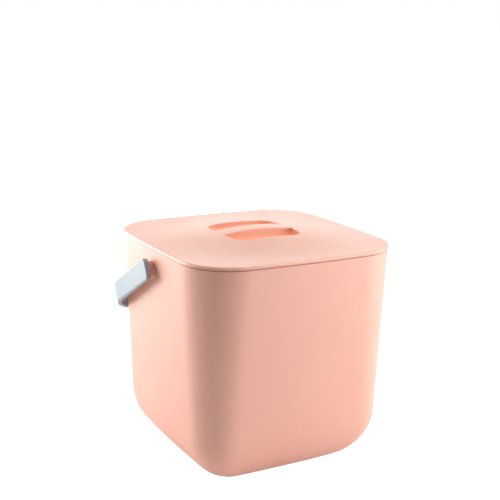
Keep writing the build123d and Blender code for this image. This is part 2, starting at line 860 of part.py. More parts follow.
with BuildPart() as idler_pin:
    with BuildSketch(at_height(idler_at, plate_z)):
        Circle(idler_pin_radius)
    extrude(amount=deck_z + deck - idler_blind - plate_z)
finish(idler_pin, "idler_pin")

# Gearbox plate with its screws
motor_screw_spots = [
    motor_at + polar(motor_screw_offset, motor_side + 90),
    motor_at + polar(motor_screw_offset, motor_side - 90),
]
with BuildPart() as gearbox_plate:
    with BuildSketch(Plane.XY.offset(plate_z)):
        Circle(plate_radius)
    extrude(amount=plate)
    with BuildSketch(Plane.XY.offset(lower_bush_base)):
        Circle(bush_radius + bush_housing_wall)
    extrude(amount=plate_z - lower_bush_base)
    with BuildSketch(Plane.XY.offset(lower_bush_base)):
        Circle(bush_radius)
    extrude(amount=plate_top - lower_bush_base, mode=Mode.SUBTRACT)
    with BuildSketch(Plane.XY.offset(plate_z)):
        with Locations(motor_at):
            Circle(motor_shaft_radius + plate_opening)
        with Locations(idler_at):
            Circle(idler_pin_radius)
        with Locations(*motor_screw_spots):
            Circle(small_screw[0] + screw_gap)
        with Locations(*[polar(post_circle, angle) for angle in post_angles]):
            Circle(small_screw[0] + screw_gap)
    extrude(amount=plate, mode=Mode.SUBTRACT)
finish(gearbox_plate, "gearbox_plate")

with BuildPart() as gearbox_screws:
    for angle in post_angles:
        spot = polar(post_circle, angle)
        with BuildSketch(at_height(spot, plate_z)):
            Circle(small_screw[0])
        extrude(amount=plate + post_depth)
        with BuildSketch(at_height(spot, plate_z)):
            Circle(small_screw[1])
        extrude(amount=-small_screw[2])
finish(gearbox_screws, "gearbox_screws")

with BuildPart() as motor_screws:
    for spot in motor_screw_spots:
        with BuildSketch(at_height(spot, plate_top)):
            Circle(small_screw[0])
        extrude(amount=-plate - can_wall)
        with BuildSketch(at_height(spot, plate_top)):
            Circle(small_screw[1])
        extrude(amount=small_screw[2])
finish(motor_screws, "motor_screws")

# Motor
with BuildPart() as motor_can:
    with BuildSketch(at_height(motor_at, motor_base + end_cap_height)):
        Circle(motor_radius)
    extrude(amount=motor_length - end_cap_height)
    with BuildSketch(at_height(motor_at, motor_base + end_cap_height)):
        Circle(motor_radius - can_wall)
    extrude(amount=motor_length - end_cap_height - can_wall, mode=Mode.SUBTRACT)
    with BuildSketch(at_height(motor_at, plate_z - can_wall)):
        Circle(motor_shaft_radius + running_gap)
    extrude(amount=can_wall, mode=Mode.SUBTRACT)
    with BuildSketch(Plane.XY.offset(plate_z - can_wall)):
        with Locations(*motor_screw_spots):
            Circle(small_screw[0])
    extrude(amount=can_wall, mode=Mode.SUBTRACT)
finish(motor_can, "motor_can")

with BuildPart() as motor_end_cap:
    with BuildSketch(at_height(motor_at, motor_base)):
        Circle(motor_radius)
    extrude(amount=end_cap_height)
    with BuildSketch(at_height(motor_at, motor_base + end_cap_height)):
        Circle(motor_radius - can_wall)
    extrude(amount=-end_cap_height / 2, mode=Mode.SUBTRACT)
    with BuildSketch(at_height(motor_at, motor_base + end_cap_floor)):
        Circle(motor_shaft_radius + running_gap)
    extrude(amount=end_cap_height, mode=Mode.SUBTRACT)
finish(motor_end_cap, "motor_end_cap")

magnet_outer = motor_radius - can_wall
magnet_inner = armature_radius + magnet_gap
armature_z = motor_base + end_cap_height + armature_gap
magnet_split = 2 * magnet_outer * sin(radians(90 - magnet_arc / 2))
with BuildPart() as motor_magnets:
    with BuildSketch(at_height(motor_at, armature_z)):
        Circle(magnet_outer)
        Circle(magnet_inner, mode=Mode.SUBTRACT)
        Rectangle(2 * motor_radius, magnet_split, mode=Mode.SUBTRACT)
    extrude(amount=armature_length)
finish(motor_magnets, "motor_magnets")

with BuildPart() as motor_armature:
    with BuildSketch(at_height(motor_at, armature_z)):
        Circle(armature_radius)
        with PolarLocations(armature_radius, pole_count):
            Rectangle(2 * winding_depth, winding_slot, mode=Mode.SUBTRACT)
    extrude(amount=armature_length)
    with BuildSketch(at_height(motor_at, armature_z)):
        Circle(commutator_radius)
    extrude(amount=-commutator_length)
    with BuildSketch(at_height(motor_at, armature_z - commutator_length)):
        Circle(motor_shaft_radius)
    extrude(amount=armature_length + commutator_length, mode=Mode.SUBTRACT)
finish(motor_armature, "motor_armature")

motor_shaft_base = motor_base + end_cap_floor + shaft_float
with BuildPart() as motor_shaft:
    with BuildSketch(at_height(motor_at, motor_shaft_base)):
        Circle(motor_shaft_radius)
    extrude(amount=stage_one_z + gear_width - motor_shaft_base)
finish(motor_shaft, "motor_shaft")

with BuildPart() as motor_pinion:
    with BuildSketch(at_height(motor_at, stage_one_z)):
        add(gear_face(pinion_teeth, motor_side + 180 + 180 / pinion_teeth))
        Circle(motor_shaft_radius, mode=Mode.SUBTRACT)
    extrude(amount=gear_width)
finish(motor_pinion, "motor_pinion")

# Cord entry in the lower housing's band
with BuildPart() as cord_grommet:
    with BuildSketch(Plane.XZ.offset(grommet_seat - grommet_inside)):
        with Locations((0, grommet_height)):
            Circle(grommet_radius)
    extrude(amount=grommet_inside)
    with BuildSketch(Plane.XZ.offset(grommet_seat)):
        with Locations((0, grommet_height)):
            Circle(grommet_neck)
    extrude(amount=unit_radius - grommet_seat)
    with BuildSketch(Plane.XZ.offset(unit_radius)):
        with Locations((0, grommet_height)):
            Circle(grommet_radius)
    extrude(amount=grommet_outside)
    with BuildSketch(Plane.XZ.offset(grommet_seat - grommet_inside)):
        with Locations((0, grommet_height)):
            Circle(cord_radius)
    extrude(amount=unit_radius + grommet_outside, mode=Mode.SUBTRACT)
finish(cord_grommet, "cord_grommet")
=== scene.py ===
"""Looks, studio and camera for a portable mini washer built as separate CAD pieces."""

import math

import bpy
from bpy.props import FloatProperty, FloatVectorProperty, IntProperty, PointerProperty
from mathutils import Matrix, Vector


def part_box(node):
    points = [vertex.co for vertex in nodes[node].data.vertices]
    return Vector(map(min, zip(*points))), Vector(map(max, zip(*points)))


bl_info = {
    "name": "Portable Mini Washer",
    "version": (1, 0, 0),
    "blender": (4, 5, 0),
    "location": "3D View > Sidebar > Washer",
    "description": "Finishes the pieces of a small bucket washer and sets up its studio",
    "category": "Object",
}

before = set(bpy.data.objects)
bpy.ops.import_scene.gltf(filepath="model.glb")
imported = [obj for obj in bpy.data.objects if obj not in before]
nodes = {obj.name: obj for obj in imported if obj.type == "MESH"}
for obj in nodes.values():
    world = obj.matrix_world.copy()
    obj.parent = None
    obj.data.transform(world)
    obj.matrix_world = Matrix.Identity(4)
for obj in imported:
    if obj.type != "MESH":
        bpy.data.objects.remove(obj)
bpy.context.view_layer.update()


# Properties


def colour_property(name, description, default):
    return FloatVectorProperty(
        name=name, description=description, subtype="COLOR", size=3, min=0, max=1, default=default
    )


def length_property(name, description, default):
    return FloatProperty(
        name=name, description=description, default=default, min=0, unit="LENGTH", precision=6
    )


def angle_property(name, description, degrees):
    return FloatProperty(
        name=name, description=description, subtype="ANGLE", default=math.radians(degrees)
    )


def power_property(name, description, default):
    return FloatProperty(name=name, description=description, default=default, min=0)


class BucketSettings(bpy.types.PropertyGroup):
    """Colours and finish of the bucket, its lid and its strap."""

    bucket: colour_property("Bucket", "Moulded colour of the bucket", (0.82, 0.415, 0.315))
    bucket_pale: colour_property("Bucket pale", "Paler patches in the bucket's colour", (0.85, 0.44, 0.335))
    lid: colour_property("Lid", "Moulded colour of the lid", (0.83, 0.42, 0.315))
    lid_pale: colour_property("Lid pale", "Paler patches in the lid's colour", (0.86, 0.445, 0.335))
    # Painted shade: a darker band on the bucket and the lid along the gap under the lid.
    seam: colour_property("Seam", "Colour of the shadow gap under the lid", (0.34, 0.11, 0.07))
    # Painted highlight: a paler band along the lid's rounded top edge.
    edge_highlight: colour_property("Edge highlight", "Painted highlight on the lid's top edge", (0.97, 0.66, 0.54))
    # Painted glow: emission in the grip's recess, strongest at its floor, standing for light through the
    # thin walls.
    grip_painted_glow: colour_property("Grip painted glow", "Painted glow for light through the grip's thin walls", (0.42, 0.22, 0.12))
    # Half height of the bands of painted shade and painted highlight.
    painted_band_width: length_property("Seam width", "Half height of the painted shade band and of the painted edge highlight", 0.0011)
    lid_edge: length_property("Lid edge", "Height of the lid's rounded edge above the rim", 0.0035)
    grip_reach: length_property("Grip reach", "Half width of the grip's recess", 0.0415)
    grip_depth: length_property("Grip depth", "Depth of the grip's recess", 0.014)
    crown_fall: length_property("Crown fall", "Drop of the lid's top across the grip", 0.0052)
    strap: colour_property("Strap", "Moulded colour of the handle strap", (0.33, 0.39, 0.42))
    strap_pale: colour_property("Strap pale", "Paler patches in the strap's colour", (0.365, 0.425, 0.455))
    gloss: FloatProperty(
        name="Roughness", description="Mean roughness of the satin plastic", default=0.36, min=0.05, max=1
    )
    grain: length_property("Grain depth", "Depth of the moulded grain", 0.00004)


class UnitSettings(bpy.types.PropertyGroup):
    """Colours and finish of the wash unit."""

    shell: colour_property("Shell", "White of the housings and the pulsator", (0.86, 0.88, 0.89))
    shell_shade: colour_property("Shell shade", "Cooler patches in the white", (0.80, 0.83, 0.85))
    cap: colour_property("Centre cap", "Colour of the pulsator's centre cap", (0.05, 0.16, 0.03))
    cap_glow: colour_property("Cap glow", "Lighter green in the cap", (0.22, 0.36, 0.04))
    rubber: colour_property("Rubber", "Colour of the seals and the cord grommet", (0.035, 0.035, 0.038))
    feet: colour_property("Feet", "Milky rubber of the suction feet", (0.55, 0.57, 0.58))
    gears: colour_property("Gears", "Natural acetal of the gears", (0.74, 0.71, 0.63))
    wear: FloatProperty(
        name="Edge wear", description="Rubbing of the edges", default=0.25, min=0, max=1, subtype="FACTOR"
    )


class StageSettings(bpy.types.PropertyGroup):
    """Camera, floor and lights."""

    azimuth: angle_property("Azimuth", "Turn of the camera round the bucket", -29.17)
    elevation: angle_property("Elevation", "Height of the camera as an angle", 19.02)
    distance: FloatProperty(
        name="Distance", description="Camera to the middle", default=1.09537, min=0.1, unit="LENGTH"
    )
    pan: angle_property("Pan", "Sideways aim away from the middle", 0.17)
    tilt: angle_property("Tilt", "Upward aim away from the middle", -5.42)
    roll: angle_property("Roll", "Turn of the camera about its aim", 1.04)
    lens: FloatProperty(name="Lens", description="Focal length in millimetres", default=71.32, min=1)
    floor_size: FloatProperty(
        name="Floor", description="Width of the pale floor", default=40.0, min=1, unit="LENGTH"
    )
    floor_cuts: IntProperty(name="Floor cuts", description="Rows of faces in the floor", default=8, min=1)
    floor_colour: colour_property("Floor colour", "Colour of the pale floor", (0.90, 0.90, 0.90))
    floor_glow: FloatProperty(
        name="Floor glow", description="Light of its own that the floor shows", default=1.0, min=0
    )
    left_power: power_property("Left light", "Power of the left soft box in watts", 19.5)
    right_power: power_property("Right light", "Power of the right soft box in watts", 11.3)
    top_power: power_property("Top light", "Power of the overhead soft box in watts", 4.4)
    back_power: power_property("Back light", "Power of the back soft box in watts", 8.6)
    sky: FloatProperty(name="Sky", description="Strength of the light all round", default=0.17, min=0)
    gap: FloatProperty(name="Gap", description="Strength of the sky in its gap", default=0.05, min=0)
    gap_angle: angle_property("Gap angle", "Plan angle of the middle of that gap", 214)


# Node helpers

MIX_SHARE, MIX_FIRST, MIX_SECOND, MIX_RESULT = 0, 6, 7, 2
COLOUR, FLOAT = "NodeSocketColor", "NodeSocketFloat"


def add_node(tree, kind, inputs=None, **settings):
    """A new node with the given settings, and with its sockets set or linked."""
    made = tree.nodes.new(kind)
    for key, value in settings.items():
        setattr(made, key, value)
    for socket, value in (inputs or {}).items():
        if isinstance(value, bpy.types.NodeSocket):
            tree.links.new(value, made.inputs[socket])
        else:
            made.inputs[socket].default_value = value
    return made


def opaque(colour):
    return (*colour, 1.0)


def mix_colour(tree, share, first, second):
    """The colour output of a colour mix."""
    sockets = {MIX_SHARE: share, MIX_FIRST: first, MIX_SECOND: second}
    return add_node(tree, "ShaderNodeMix", sockets, data_type="RGBA").outputs[MIX_RESULT]


def math_node(tree, operation, *values, clamp=False):
    sockets = dict(enumerate(values))
    return add_node(tree, "ShaderNodeMath", sockets, operation=operation, use_clamp=clamp).outputs[0]


def times(tree, first, second):
    return math_node(tree, "MULTIPLY", first, second)


def plus(tree, first, second):
    return math_node(tree, "ADD", first, second)


def spread(tree, value, low, high, start=0.0, end=1.0):
    """Takes value from the range start to end over to the range low to high."""
    sockets = dict(enumerate((value, start, end, low, high)))
    return add_node(tree, "ShaderNodeMapRange", sockets, clamp=True).outputs[0]


def object_place(tree):
    return tree.nodes.new("ShaderNodeTexCoord").outputs["Object"]


def apart(tree, vector):
    """The X, Y and Z outputs of a vector."""
    return add_node(tree, "ShaderNodeSeparateXYZ", {"Vector": vector}).outputs


def from_middle(tree, parts):
    """Square distance from the middle axis, the larger of the two level ones."""
    return math_node(
        tree, "MAXIMUM", math_node(tree, "ABSOLUTE", parts["X"]), math_node(tree, "ABSOLUTE", parts["Y"])
    )


def noise(tree, vector, scale, detail=3.0, roughness=0.5, distortion=0.0):
    sockets = {"Vector": vector, "Scale": scale, "Detail": detail}
    sockets |= {"Roughness": roughness, "Distortion": distortion}
    return add_node(tree, "ShaderNodeTexNoise", sockets).outputs[0]


def effect(name, inputs, outputs, build):
    """A shader node group with the named sockets, built once."""
    known = bpy.data.node_groups.get(name)
    if known:
        return known
    group = bpy.data.node_groups.new(name, "ShaderNodeTree")
    for label, kind, default in inputs:
        socket = group.interface.new_socket(name=label, in_out="INPUT", socket_type=kind)
        socket.default_value = default
    for label, kind in outputs:
        group.interface.new_socket(name=label, in_out="OUTPUT", socket_type=kind)
    entry = group.nodes.new("NodeGroupInput")
    leave = group.nodes.new("NodeGroupOutput")
    for label, socket in build(group, entry.outputs).items():
        group.links.new(socket, leave.inputs[label])
    return group


def place(tree, group, inputs):
    return add_node(tree, "ShaderNodeGroup", inputs, node_tree=group).outputs


# Shared effects

SCUFF_TURNS = (0.5, -0.9, 1.7)  # three ways that the scuffs run, in radians
SCUFF_LEAN = 0.3
SCUFF_SHAPE = (260.0, 9.0, 260.0)  # narrow across and long along
LEAST_ROUGHNESS = 0.04
FLOW_SHAPE = (1.0, 1.0, 0.12)  # the mould filled along Z
BRUSHED_SHAPE = (60.0, 60.0, 2600.0)  # rings about Z
RECESS_MARGIN = 0.0005


def pigment():
    """Slow drift between two shades, with faint flow streaks from the moulding."""

    def build(tree, given):
        spot = object_place(tree)
        cloud = noise(tree, spot, given["Scale"], 4.0, 0.55)
        stretched = add_node(tree, "ShaderNodeMapping", {"Vector": spot, "Scale": FLOW_SHAPE})
        streak = noise(tree, stretched.outputs[0], 46.0, 2.0, 0.5, 0.4)
        share = times(tree, spread(tree, cloud, 0, 1, 0.35, 0.65), spread(tree, streak, 0.6, 1.0))
        return {"Colour": mix_colour(tree, share, given["Colour"], given["Second"])}

    inputs = [
        ("Colour", COLOUR, (0.8, 0.8, 0.8, 1)),
        ("Second", COLOUR, (0.9, 0.9, 0.9, 1)),
        ("Scale", FLOAT, 6.0),
    ]
    return effect("Pigment drift", inputs, [("Colour", COLOUR)], build)


def grain():
    """Height of a fine spark-eroded grain with a trace of larger waviness."""

    def build(tree, given):
        spot = object_place(tree)
        fine = noise(tree, spot, given["Scale"], 3.0, 0.6)
        cells = add_node(tree, "ShaderNodeTexVoronoi", {"Vector": spot, "Scale": given["Scale"]})
        pits = times(tree, cells.outputs["Distance"], 0.35)
        wave = times(tree, noise(tree, spot, 9.0, 2.0, 0.4), given["Wave"])
        return {"Height": plus(tree, plus(tree, fine, pits), wave)}

    inputs = [("Scale", FLOAT, 900.0), ("Wave", FLOAT, 1.0)]
    return effect("Moulded grain", inputs, [("Height", FLOAT)], build)


def handling():
    """Roughness with smudges from hands and fine crossing scuffs."""

    def build(tree, given):
        spot = object_place(tree)
        smudge = spread(tree, noise(tree, spot, 14.0, 5.0, 0.6, 0.8), 0, 1, 0.38, 0.68)
        lines = None
        for turn in SCUFF_TURNS:
            sockets = {"Vector": spot, "Rotation": (turn, SCUFF_LEAN, turn), "Scale": SCUFF_SHAPE}
            turned = add_node(tree, "ShaderNodeMapping", sockets)
            line = spread(tree, noise(tree, turned.outputs[0], 1.0, 1.0, 0.4), 0, 1, 0.66, 0.74)
            lines = line if lines is None else math_node(tree, "MAXIMUM", lines, line)
        patch = spread(tree, noise(tree, spot, 21.0, 2.0, 0.5), 0, 1, 0.5, 0.62)
        scuff = times(tree, times(tree, lines, patch), given["Scuffs"])
        wide = times(tree, math_node(tree, "SUBTRACT", smudge, 0.5), given["Spread"])
        rough = plus(tree, plus(tree, given["Roughness"], wide), times(tree, scuff, 0.2))
        kept = math_node(tree, "MAXIMUM", rough, LEAST_ROUGHNESS, clamp=True)
        return {"Roughness": kept, "Scuff": scuff}

    inputs = [("Roughness", FLOAT, 0.4), ("Spread", FLOAT, 0.08), ("Scuffs", FLOAT, 0.5)]
    return effect("Handling marks", inputs, [("Roughness", FLOAT), ("Scuff", FLOAT)], build)


def edge_wear():
    """Mask of the rubbed edges, broken up so that it isn't a line."""

    def build(tree, given):
        geometry = tree.nodes.new("ShaderNodeNewGeometry")
        sharp = spread(tree, geometry.outputs["Pointiness"], 0, 1, 0.52, 0.60)
        broken = spread(tree, noise(tree, object_place(tree), 60.0, 4.0, 0.6), 0, 1, 0.35, 0.7)
        return {"Mask": times(tree, times(tree, sharp, broken), given["Amount"])}

    return effect("Edge wear", [("Amount", FLOAT, 0.3)], [("Mask", FLOAT)], build)


def dust():
    """Mask of fine dust that settles where a surface looks up, thicker in hollows."""

    def build(tree, given):
        geometry = tree.nodes.new("ShaderNodeNewGeometry")
        spot = object_place(tree)
        up = apart(tree, geometry.outputs["Normal"])["Z"]
        specks = spread(tree, noise(tree, spot, 420.0, 2.0, 0.7), 0, 1, 0.6, 0.75)
        cloud = spread(tree, noise(tree, spot, 16.0, 3.0, 0.6), 0.2, 1, 0.4, 0.7)
        hollow = spread(tree, geometry.outputs["Pointiness"], 1, 0.3, 0.44, 0.5)
        lying = times(tree, spread(tree, up, 0, 1, 0.3, 0.95), hollow)
        share = times(tree, times(tree, specks, cloud), lying)
        return {"Mask": times(tree, share, given["Amount"])}

    return effect("Settled dust", [("Amount", FLOAT, 0.1)], [("Mask", FLOAT)], build)


def brushed():
    """Height, tone and stain of fine turned or brushed lines about one axis."""

    def build(tree, given):
        spot = object_place(tree)
        squeezed = add_node(tree, "ShaderNodeMapping", {"Vector": spot, "Scale": BRUSHED_SHAPE})
        lines = noise(tree, squeezed.outputs[0], 1.0, 3.0, 0.7)
        stain = spread(tree, noise(tree, spot, given["Scale"], 4.0, 0.6, 0.5), 0, 1, 0.4, 0.7)
        return {"Height": lines, "Tone": spread(tree, lines, 0.75, 1.0), "Stain": stain}

    outputs = [("Height", FLOAT), ("Tone", FLOAT), ("Stain", FLOAT)]
    return effect("Brushed metal", [("Scale", FLOAT, 90.0)], outputs, build)


def band():
    """Mask of a level band at one height, only near the outer walls and off the flats; it carries painted
    shade and painted highlights.
    """

    def build(tree, given):
        parts = apart(tree, object_place(tree))
        off = math_node(tree, "ABSOLUTE", math_node(tree, "SUBTRACT", parts["Z"], given["Height"]))
        level = spread(tree, math_node(tree, "DIVIDE", off, given["Width"]), 1, 0, 0.5, 1.0)
        outside = math_node(tree, "GREATER_THAN", from_middle(tree, parts), given["Reach"])
        up = apart(tree, tree.nodes.new("ShaderNodeNewGeometry").outputs["Normal"])["Z"]
        round_edge = spread(tree, up, 1, 0, 0.8, 0.97)
        return {"Mask": times(tree, times(tree, level, outside), round_edge)}

    inputs = [("Height", FLOAT, 0.2), ("Width", FLOAT, 0.001), ("Reach", FLOAT, 0.1)]
    return effect("Level band", inputs, [("Mask", FLOAT)], build)


def recess():
    """Mask of what lies below the top inside the middle of the lid, where the painted glow is laid."""

    def build(tree, given):
        parts = apart(tree, object_place(tree))
        inside = math_node(tree, "LESS_THAN", from_middle(tree, parts), given["Reach"])
        deep = spread(tree, parts["Z"], 1, 0, given["Floor"], given["Top"])
        lowest = math_node(tree, "SUBTRACT", given["Floor"], RECESS_MARGIN)
        above = math_node(tree, "GREATER_THAN", parts["Z"], lowest)
        return {"Mask": times(tree, times(tree, deep, inside), above)}

    inputs = [("Reach", FLOAT, 0.04), ("Floor", FLOAT, 0.2), ("Top", FLOAT, 0.25)]
    return effect("Recess depth", inputs, [("Mask", FLOAT)], build)


# Materials

DUST_COLOUR = (0.72, 0.70, 0.67)
WORN_GAIN, WORN_LIFT = 1.12, 0.04  # how much paler a rubbed edge is
SCUFF_AMOUNT, SCUFF_SHARE = 0.4, 0.12
SMUDGE_PLASTIC, SMUDGE_METAL = 0.10, 0.16
DUST_ROUGHNESS = 0.5
# Shares of the painted shade at the seam and of the painted highlight on the lid's edge.
SEAM_SHADE_SHARE, EDGE_HIGHLIGHT_SHARE = 0.65, 0.7
WALL_REACH = 0.1  # the bands lie further than this from the middle axis
METAL_WEAR, METAL_SCUFFS = 0.6, 0.8
METAL_DARK, METAL_BRIGHT = 0.8, 1.3


def start_material(name, **shader):
    """A cleared material with its Principled shader, whose plain values are set on it."""
    material = bpy.data.materials.new(name)
    material.use_nodes = True
    tree = material.node_tree
    tree.nodes.clear()
    surface = add_node(tree, "ShaderNodeBsdfPrincipled")
    for socket, value in shader.items():
        surface.inputs[socket.replace("_", " ")].default_value = value
    out = tree.nodes.new("ShaderNodeOutputMaterial")
    tree.links.new(surface.outputs[0], out.inputs[0])
    return material, tree, surface


def connect(tree, surface, colour, roughness, bump):
    tree.links.new(colour, surface.inputs["Base Color"])
    tree.links.new(roughness, surface.inputs["Roughness"])
    tree.links.new(bump.outputs[0], surface.inputs["Normal"])


def moulded(
    name, first, second, rough, depth=0.00004, scale=900.0, wear=0.1, dusty=0.06, drift=6.0, **shader
):
    """Moulded plastic or rubber: drifting pigment, grain, handling marks, worn edges and dust."""
    material, tree, surface = start_material(name, **shader)
    tint = place(tree, pigment(), {"Colour": opaque(first), "Second": opaque(second), "Scale": drift})
    marks = place(tree, handling(), {"Roughness": rough, "Spread": SMUDGE_PLASTIC, "Scuffs": SCUFF_AMOUNT})
    rubbed = place(tree, edge_wear(), {"Amount": wear})["Mask"]
    settled = place(tree, dust(), {"Amount": dusty})["Mask"]
    pale = opaque([min(1.0, value * WORN_GAIN + WORN_LIFT) for value in second])
    colour = mix_colour(tree, rubbed, tint["Colour"], pale)
    colour = mix_colour(tree, times(tree, marks["Scuff"], SCUFF_SHARE), colour, pale)
    colour = mix_colour(tree, settled, colour, opaque(DUST_COLOUR))
    dull = times(tree, settled, DUST_ROUGHNESS)
    roughness = math_node(tree, "ADD", marks["Roughness"], dull, clamp=True)
    height = place(tree, grain(), {"Scale": scale, "Wave": 1.0})["Height"]
    bump = add_node(tree, "ShaderNodeBump", {"Height": height, "Distance": depth, "Strength": 0.6})
    connect(tree, surface, colour, roughness, bump)
    return material


def paint_light_band(material, height, width, colour, share):
    """Lays a band of painted light over a material's base colour: painted shade at the seam under the lid,
    a painted highlight on the lid's top edge.
    """
    tree = material.node_tree
    base = tree.nodes["Principled BSDF"].inputs["Base Color"]
    mask = place(tree, band(), {"Height": height, "Width": width, "Reach": WALL_REACH})["Mask"]
    before = base.links[0].from_socket
    tree.links.new(mix_colour(tree, times(tree, mask, share), before, opaque(colour)), base)


def metal(name, colour, stain, rough, scale=90.0, lines=0.00002):
    """Turned, drawn or plated metal with fine lines, tarnish and bright worn edges."""
    material, tree, surface = start_material(name, Metallic=1.0)
    turned = place(tree, brushed(), {"Scale": scale})
    marks = place(tree, handling(), {"Roughness": rough, "Spread": SMUDGE_METAL, "Scuffs": METAL_SCUFFS})
    rubbed = place(tree, edge_wear(), {"Amount": METAL_WEAR})["Mask"]
    dark = [value * METAL_DARK for value in colour]
    bright = [min(1.0, value * METAL_BRIGHT) for value in colour]
    base = mix_colour(tree, turned["Stain"], opaque(colour), opaque(stain))
    base = mix_colour(tree, turned["Tone"], opaque(dark), base)
    base = mix_colour(tree, rubbed, base, opaque(bright))
    sockets = {"Height": turned["Height"], "Distance": lines, "Strength": 0.5}
    connect(tree, surface, base, marks["Roughness"], add_node(tree, "ShaderNodeBump", sockets))
    return material


def finish(names, material):
    """Gives the named CAD pieces one material."""
    for name in names:
        piece = nodes[name]
        piece.data.materials.clear()
        piece.data.materials.append(material)


# Operators


class WASHER_OT_bucket(bpy.types.Operator):
    """Finish the bucket in satin moulded plastic, with painted shade along the gap under the lid"""

    bl_idname = "washer.bucket"
    bl_label = "Bucket"

    def execute(self, context):
        look = context.scene.washer_bucket
        gloss = {"Specular_IOR_Level": 0.75}
        plastic = moulded(
            "Bucket plastic", look.bucket, look.bucket_pale, look.gloss, look.grain, drift=4.0, **gloss
        )
        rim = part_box("bucket")[1].z
        # Painted shade in a band at the rim's height, along the gap under the lid.
        paint_light_band(plastic, rim, look.painted_band_width, look.seam, SEAM_SHADE_SHARE)
        finish(["bucket"], plastic)
        return {"FINISHED"}


class WASHER_OT_lid(bpy.types.Operator):
    """Finish the lid in the same plastic, a shade paler, with painted shade at its seam, a painted
    highlight on its top edge and a painted glow in its thin-walled grip
    """

    bl_idname = "washer.lid"
    bl_label = "Lid"

    def execute(self, context):
        look = context.scene.washer_bucket
        rough = look.gloss + 0.04
        spread_light = {
            "Subsurface_Weight": 0.3,
            "Subsurface_Scale": 0.006,
            "Subsurface_Radius": (1.0, 0.45, 0.3),
        }
        shader = {"Specular_IOR_Level": 0.7, **spread_light}
        plastic = moulded(
            "Lid plastic", look.lid, look.lid_pale, rough, look.grain, dusty=0.1, drift=5.0, **shader
        )
        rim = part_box("bucket")[1].z
        # Painted shade at the rim's height, along the gap under the lid.
        paint_light_band(plastic, rim, look.painted_band_width, look.seam, SEAM_SHADE_SHARE)
        # Painted highlight in a band along the lid's rounded top edge.
        paint_light_band(plastic, rim + look.lid_edge, look.painted_band_width, look.edge_highlight, EDGE_HIGHLIGHT_SHARE)
        tree = plastic.node_tree
        surface = tree.nodes["Principled BSDF"]
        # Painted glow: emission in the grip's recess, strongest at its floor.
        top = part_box("lid")[1].z
        where = {"Reach": look.grip_reach, "Floor": top - look.grip_depth, "Top": top - look.crown_fall}
        depth = place(tree, recess(), where)["Mask"]
        glow = mix_colour(tree, depth, (0, 0, 0, 1), opaque(look.grip_painted_glow))
        tree.links.new(glow, surface.inputs["Emission Color"])
        surface.inputs["Emission Strength"].default_value = 1.0
        finish(["lid"], plastic)
        return {"FINISHED"}


class WASHER_OT_handle(bpy.types.Operator):
    """Finish the strap handle, its bushes and its clips"""

    bl_idname = "washer.handle"
    bl_label = "Handle"

    def execute(self, context):
        look = context.scene.washer_bucket
        rough, depth = look.gloss + 0.06, look.grain * 1.5
        strap = moulded("Strap plastic", look.strap, look.strap_pale, rough, depth, wear=0.2)
        finish(["handle_bail"], strap)
        finish(["pivot_bushes"], moulded("Bush acetal", (0.72, 0.69, 0.62), (0.78, 0.76, 0.70), 0.42))
        finish(["pivot_clips"], metal("Spring steel", (0.42, 0.42, 0.43), (0.30, 0.29, 0.28), 0.34))
        return {"FINISHED"}


class WASHER_OT_housings(bpy.types.Operator):
    """Finish the wash unit's housings, seals, feet and cord grommet"""

    bl_idname = "washer.housings"
    bl_label = "Wash unit housings"

    def execute(self, context):
        look = context.scene.washer_unit
        coat = {"Coat_Weight": 0.3, "Coat_Roughness": 0.12}
        shell = moulded(
            "White housing", look.shell, look.shell_shade, 0.22, 0.00002, wear=look.wear * 0.4, **coat
        )
        finish(["lower_housing", "upper_housing"], shell)
        soft = [min(1.0, value * 1.6 + 0.01) for value in look.rubber]
        rubber = moulded("Black rubber", look.rubber, soft, 0.62, 0.00006, 1400.0)
        finish(["housing_seal", "shaft_seal", "cord_grommet"], rubber)
        milky = [value * 1.12 for value in look.feet]
        feet = moulded("Milky rubber", look.feet, milky, 0.34, 0.00003, 700.0, Coat_Weight=0.2)
        finish(["suction_feet"], feet)
        return {"FINISHED"}


class WASHER_OT_pulsator(bpy.types.Operator):
    """Finish the pulsator in glossy white with its green centre cap"""

    bl_idname = "washer.pulsator"
    bl_label = "Pulsator"

    def execute(self, context):
        look = context.scene.washer_unit
        coat = {"Coat_Weight": 0.5, "Coat_Roughness": 0.06}
        white = moulded(
            "Pulsator white", look.shell, look.shell_shade, 0.16, 0.000015, wear=look.wear, **coat
        )
        finish(["pulsator"], white)
        coat = {"Coat_Weight": 0.9, "Coat_Roughness": 0.04}
        cap = moulded("Cap green", look.cap, look.cap_glow, 0.08, 0.00001, drift=160.0, **coat)
        finish(["centre_cap"], cap)
        return {"FINISHED"}


class WASHER_OT_drive(bpy.types.Operator):
    """Finish the gears, shafts, bushes and the gearbox plate"""

    bl_idname = "washer.drive"
    bl_label = "Drive train"

    def execute(self, context):
        look = context.scene.washer_unit
        pale = [min(1.0, value * 1.08) for value in look.gears]
        acetal = moulded("Gear acetal", look.gears, pale, 0.38, 0.00002, 1200.0, wear=look.wear)
        finish(["output_gear", "idler_gear", "motor_pinion"], acetal)
        steel = metal("Ground steel", (0.56, 0.56, 0.57), (0.44, 0.42, 0.40), 0.2)
        finish(["output_shaft", "idler_pin", "motor_shaft"], steel)
        bronze = metal("Sintered bronze", (0.55, 0.36, 0.15), (0.34, 0.21, 0.09), 0.46, 700.0)
        finish(["upper_bush", "lower_bush"], bronze)
        nylon = moulded("Grey nylon", (0.20, 0.21, 0.22), (0.25, 0.26, 0.27), 0.5, 0.00008, 500.0)
        finish(["gearbox_plate"], nylon)
        return {"FINISHED"}


